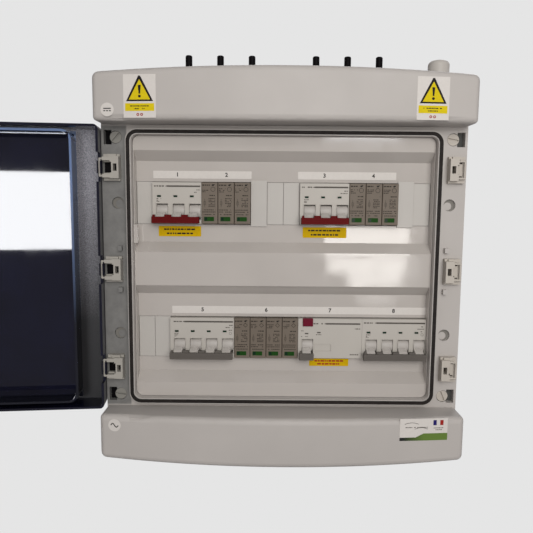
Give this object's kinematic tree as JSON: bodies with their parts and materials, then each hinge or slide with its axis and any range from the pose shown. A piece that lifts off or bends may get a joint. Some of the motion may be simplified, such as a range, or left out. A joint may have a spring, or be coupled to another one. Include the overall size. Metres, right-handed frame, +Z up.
{
  "type": "solar protection distribution box",
  "caption": "Wall-mounted solar protection box with a smoked door swung open, rows of switches and surge arresters behind a masking panel, and string sockets on top.",
  "frame": {"origin": "centre of the four wall fixing holes, on the back face", "axes": "+X right seen from the front, +Z up, the front faces -Y and +Y points into the wall"},
  "size_m": [0.7763, 0.1545, 0.4427],
  "materials": {
    "arrester": "taupe, satin",
    "arrester_base": "taupe, satin",
    "blank": "light grey, satin",
    "brass": "plain brass",
    "button": "maroon, satin",
    "device": "pale grey, satin",
    "gland_grey": "light grey",
    "grey_bar": "light grey, satin",
    "housing": "light grey moulded plastic, fine satin",
    "lever": "light grey, satin",
    "panel": "light grey pressed panel, satin",
    "red_bar": "dark red, satin",
    "seal": "black rubber",
    "smoked": "smoked glossy plastic",
    "socket_black": "black",
    "wire_black": "black insulation",
    "wire_brown": "brown insulation",
    "zinc": "zinc plated"
  },
  "bodies": {
    "enclosure": {"ac_wires": "wire_brown", "back_box": "housing", "blanking_plates": "blank", "box_seal": "seal", "breaker_1_body": "device", "breaker_2_body": "device", "dc_socket_nuts": "socket_black", "dc_sockets": "socket_black", "dc_wires": "wire_black", "din_rail_lower": "zinc", "din_rail_upper": "zinc", "door_seal": "seal", "earth_terminal": "brass", "front_cover": "housing", "gland_body": "gland_grey", "gland_dome_nut": "gland_grey", "gland_insert": "seal", "gland_locknut": "gland_grey", "hinge_blocks": "housing", "hinge_bows": "lever", "inner_panel": "panel", "isolator_1_body": "device", "isolator_2_body": "device", "latch_blocks": "housing", "rail_posts": "housing", "rail_screws": "zinc", "rcd_body": "device", "screw_towers": "housing", "surge_1_base": "arrester_base", "surge_2_base": "arrester_base", "surge_3_base": "arrester_base"},
    "door": {"door": "smoked"},
    "latch_bow_upper": {"latch_bow_upper": "lever"},
    "latch_bow_middle": {"latch_bow_middle": "lever"},
    "latch_bow_lower": {"latch_bow_lower": "lever"},
    "isolator_1_lever": {"isolator_1_toggles": "lever", "isolator_1_handle": "red_bar"},
    "isolator_2_lever": {"isolator_2_toggles": "lever", "isolator_2_handle": "red_bar"},
    "breaker_1_lever": {"breaker_1_toggles": "lever", "breaker_1_handle": "grey_bar"},
    "breaker_2_lever": {"breaker_2_toggles": "lever", "breaker_2_handle": "grey_bar"},
    "rcd_lever": {"rcd_toggle": "lever", "rcd_handle": "grey_bar"},
    "rcd_button": {"rcd_test_button": "button"},
    "surge_1_cartridge_1": {"surge_1_cartridge_1": "arrester"},
    "surge_1_cartridge_2": {"surge_1_cartridge_2": "arrester"},
    "surge_1_cartridge_3": {"surge_1_cartridge_3": "arrester"},
    "surge_2_cartridge_1": {"surge_2_cartridge_1": "arrester"},
    "surge_2_cartridge_2": {"surge_2_cartridge_2": "arrester"},
    "surge_2_cartridge_3": {"surge_2_cartridge_3": "arrester"},
    "surge_3_cartridge_1": {"surge_3_cartridge_1": "arrester"},
    "surge_3_cartridge_2": {"surge_3_cartridge_2": "arrester"},
    "surge_3_cartridge_3": {"surge_3_cartridge_3": "arrester"},
    "surge_3_cartridge_4": {"surge_3_cartridge_4": "arrester"},
    "cover_screw_lower_left": {"cover_screw_lower_left": "lever"},
    "cover_screw_lower_right": {"cover_screw_lower_right": "lever"},
    "cover_screw_upper_left": {"cover_screw_upper_left": "lever"},
    "cover_screw_upper_right": {"cover_screw_upper_right": "lever"}
  },
  "joints": [
    {"name": "door_hinge", "type": "hinge", "parent": "enclosure", "child": "door", "pos_m": [-0.1938, -0.107, 0], "axis": [0, 0, 1], "range_deg": [0, 174]},
    {"name": "latch_upper_slide", "type": "slide", "parent": "enclosure", "child": "latch_bow_upper", "axis": [1, 0, 0], "range_m": [0, 0.0044]},
    {"name": "latch_middle_slide", "type": "slide", "parent": "enclosure", "child": "latch_bow_middle", "axis": [1, 0, 0], "range_m": [0, 0.0044]},
    {"name": "latch_lower_slide", "type": "slide", "parent": "enclosure", "child": "latch_bow_lower", "axis": [1, 0, 0], "range_m": [0, 0.0044]},
    {"name": "isolator_1_switch", "type": "hinge", "parent": "enclosure", "child": "isolator_1_lever", "pos_m": [0, -0.083, 0.0628], "axis": [-1, 0, 0], "range_deg": [0, 60]},
    {"name": "isolator_2_switch", "type": "hinge", "parent": "enclosure", "child": "isolator_2_lever", "pos_m": [0, -0.083, 0.0628], "axis": [-1, 0, 0], "range_deg": [0, 60]},
    {"name": "breaker_1_switch", "type": "hinge", "parent": "enclosure", "child": "breaker_1_lever", "pos_m": [0, -0.083, -0.0862], "axis": [-1, 0, 0], "range_deg": [0, 60]},
    {"name": "breaker_2_switch", "type": "hinge", "parent": "enclosure", "child": "breaker_2_lever", "pos_m": [0, -0.083, -0.0862], "axis": [-1, 0, 0], "range_deg": [0, 60]},
    {"name": "rcd_switch", "type": "hinge", "parent": "enclosure", "child": "rcd_lever", "pos_m": [0, -0.083, -0.0862], "axis": [-1, 0, 0], "range_deg": [0, 60]},
    {"name": "rcd_test_press", "type": "slide", "parent": "enclosure", "child": "rcd_button", "axis": [0, 1, 0], "range_m": [0, 0.0018], "stiffness_N_per_m": 400},
    {"name": "surge_1_cartridge_1_pull", "type": "slide", "parent": "enclosure", "child": "surge_1_cartridge_1", "axis": [0, -1, 0], "range_m": [0, 0.026]},
    {"name": "surge_1_cartridge_2_pull", "type": "slide", "parent": "enclosure", "child": "surge_1_cartridge_2", "axis": [0, -1, 0], "range_m": [0, 0.026]},
    {"name": "surge_1_cartridge_3_pull", "type": "slide", "parent": "enclosure", "child": "surge_1_cartridge_3", "axis": [0, -1, 0], "range_m": [0, 0.026]},
    {"name": "surge_2_cartridge_1_pull", "type": "slide", "parent": "enclosure", "child": "surge_2_cartridge_1", "axis": [0, -1, 0], "range_m": [0, 0.026]},
    {"name": "surge_2_cartridge_2_pull", "type": "slide", "parent": "enclosure", "child": "surge_2_cartridge_2", "axis": [0, -1, 0], "range_m": [0, 0.026]},
    {"name": "surge_2_cartridge_3_pull", "type": "slide", "parent": "enclosure", "child": "surge_2_cartridge_3", "axis": [0, -1, 0], "range_m": [0, 0.026]},
    {"name": "surge_3_cartridge_1_pull", "type": "slide", "parent": "enclosure", "child": "surge_3_cartridge_1", "axis": [0, -1, 0], "range_m": [0, 0.026]},
    {"name": "surge_3_cartridge_2_pull", "type": "slide", "parent": "enclosure", "child": "surge_3_cartridge_2", "axis": [0, -1, 0], "range_m": [0, 0.026]},
    {"name": "surge_3_cartridge_3_pull", "type": "slide", "parent": "enclosure", "child": "surge_3_cartridge_3", "axis": [0, -1, 0], "range_m": [0, 0.026]},
    {"name": "surge_3_cartridge_4_pull", "type": "slide", "parent": "enclosure", "child": "surge_3_cartridge_4", "axis": [0, -1, 0], "range_m": [0, 0.026]},
    {"name": "cover_screw_lower_left_turn", "type": "hinge", "parent": "enclosure", "child": "cover_screw_lower_left", "pos_m": [-0.1788, -0.098, -0.14], "axis": [0, 1, 0], "range_deg": [0, 90]},
    {"name": "cover_screw_lower_right_turn", "type": "hinge", "parent": "enclosure", "child": "cover_screw_lower_right", "pos_m": [0.1788, -0.098, -0.14], "axis": [0, 1, 0], "range_deg": [0, 90]},
    {"name": "cover_screw_upper_left_turn", "type": "hinge", "parent": "enclosure", "child": "cover_screw_upper_left", "pos_m": [-0.1788, -0.098, 0.14], "axis": [0, 1, 0], "range_deg": [0, 90]},
    {"name": "cover_screw_upper_right_turn", "type": "hinge", "parent": "enclosure", "child": "cover_screw_upper_right", "pos_m": [0.1788, -0.098, 0.14], "axis": [0, 1, 0], "range_deg": [0, 90]}
  ]
}
